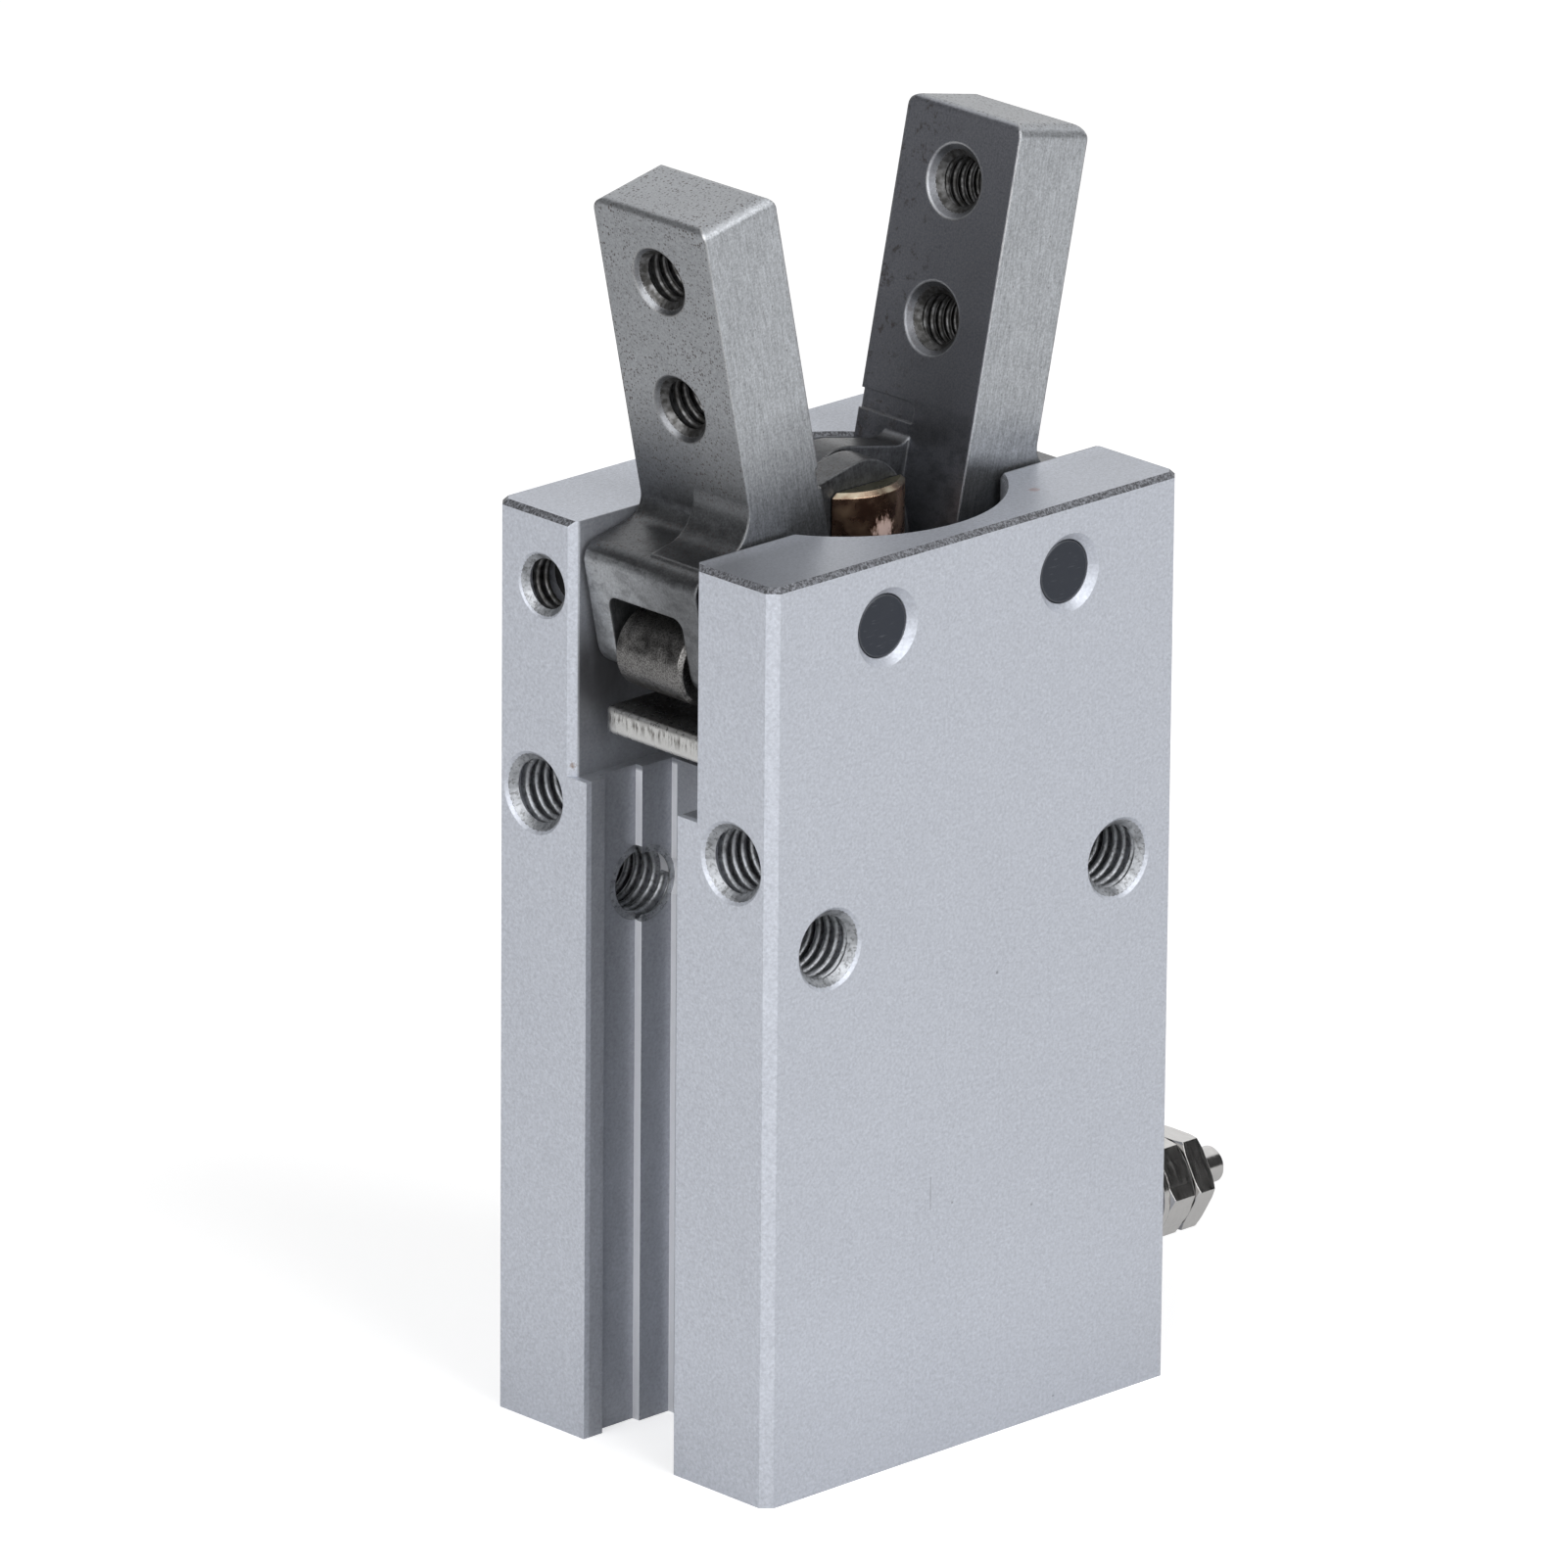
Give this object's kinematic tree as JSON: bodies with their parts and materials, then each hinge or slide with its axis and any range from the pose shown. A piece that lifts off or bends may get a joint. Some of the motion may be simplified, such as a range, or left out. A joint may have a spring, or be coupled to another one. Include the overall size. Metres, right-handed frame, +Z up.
{
  "type": "pneumatic angular gripper",
  "caption": "Double-piston angular gripper: block body, rollered levers with tapped fingers opening from a top slot, side switch channels and a side hose nipple.",
  "frame": {"origin": "centre of the body's flat bottom face", "axes": "+Z up the body towards the fingers, +X the direction in which the fingers open (the hose nipple is on the +X side), -Y the front face with the two through tapped holes"},
  "size_m": [0.0431, 0.0252, 0.0831],
  "materials": {
    "anodised": "satin",
    "lever_steel": "satin",
    "pin_steel": "satin",
    "bearing_steel": "gloss",
    "holder_nickel": "satin",
    "pusher_brass": "satin",
    "piston_aluminium": "satin",
    "fitting_nickel": "gloss",
    "screw_steel": "satin",
    "magnet": "matte",
    "seal": "matte"
  },
  "bodies": {
    "housing": {"body": "anodised", "end_cap": "piston_aluminium", "cap_seal": "seal", "retaining_ring": "pin_steel", "rod_seal": "seal", "upper_bumper": "seal", "lower_bumper": "seal", "lever_shaft_left": "pin_steel", "lever_shaft_right": "pin_steel", "lock_screw_left": "screw_steel", "lock_screw_right": "screw_steel", "nipple_body": "fitting_nickel", "nipple_nut": "fitting_nickel", "nipple_gasket": "seal"},
    "finger_left": {"finger_left": "lever_steel", "side_roller_shaft_left": "pin_steel", "center_roller_shaft_left": "pin_steel"},
    "finger_right": {"finger_right": "lever_steel", "side_roller_shaft_right": "pin_steel", "center_roller_shaft_right": "pin_steel"},
    "holder_piston": {"piston_a": "piston_aluminium", "lever_holder": "holder_nickel", "piston_seal_a": "seal", "inner_rod_seal": "seal"},
    "pusher_piston": {"piston_b": "pin_steel", "center_pusher": "pusher_brass", "piston_seal_b": "seal", "magnet_ring": "magnet"},
    "side_roller_left": {"side_roller_left": "bearing_steel"},
    "center_roller_left": {"center_roller_left": "bearing_steel"},
    "side_roller_right": {"side_roller_right": "bearing_steel"},
    "center_roller_right": {"center_roller_right": "bearing_steel"}
  },
  "joints": [
    {"name": "finger_left_pivot", "type": "hinge", "parent": "housing", "child": "finger_left", "pos_m": [-0.0079, 0, 0.0562], "axis": [0, 1, 0], "range_deg": [-3, 17]},
    {"name": "finger_right_pivot", "type": "hinge", "parent": "housing", "child": "finger_right", "pos_m": [0.0079, 0, 0.0562], "axis": [0, 1, 0], "range_deg": [-17, 3]},
    {"name": "holder_piston_slide", "type": "slide", "parent": "housing", "child": "holder_piston", "axis": [0, 0, 1], "range_m": [-0.00058, 0.00328]},
    {"name": "pusher_piston_slide", "type": "slide", "parent": "housing", "child": "pusher_piston", "axis": [0, 0, 1], "range_m": [-0.00237, 0.00042]},
    {"name": "side_roller_left_spin", "type": "hinge", "parent": "finger_left", "child": "side_roller_left", "pos_m": [-0.01394, 0, 0.05265], "axis": [0, 1, 0], "continuous": true},
    {"name": "center_roller_left_spin", "type": "hinge", "parent": "finger_left", "child": "center_roller_left", "pos_m": [-0.00001, -0.00137, 0.05757], "axis": [0, 1, 0], "continuous": true},
    {"name": "side_roller_right_spin", "type": "hinge", "parent": "finger_right", "child": "side_roller_right", "pos_m": [0.01394, 0, 0.05265], "axis": [0, 1, 0], "continuous": true},
    {"name": "center_roller_right_spin", "type": "hinge", "parent": "finger_right", "child": "center_roller_right", "pos_m": [0.00001, 0.00137, 0.05757], "axis": [0, 1, 0], "continuous": true}
  ],
  "couplings": [
    {"joint": "finger_right_pivot", "follows": "finger_left_pivot", "ratio": -1},
    {"joint": "holder_piston_slide", "follows": "finger_left_pivot", "m_per_rad": 0.011024},
    {"joint": "pusher_piston_slide", "follows": "finger_left_pivot", "m_per_rad": -0.007955}
  ]
}
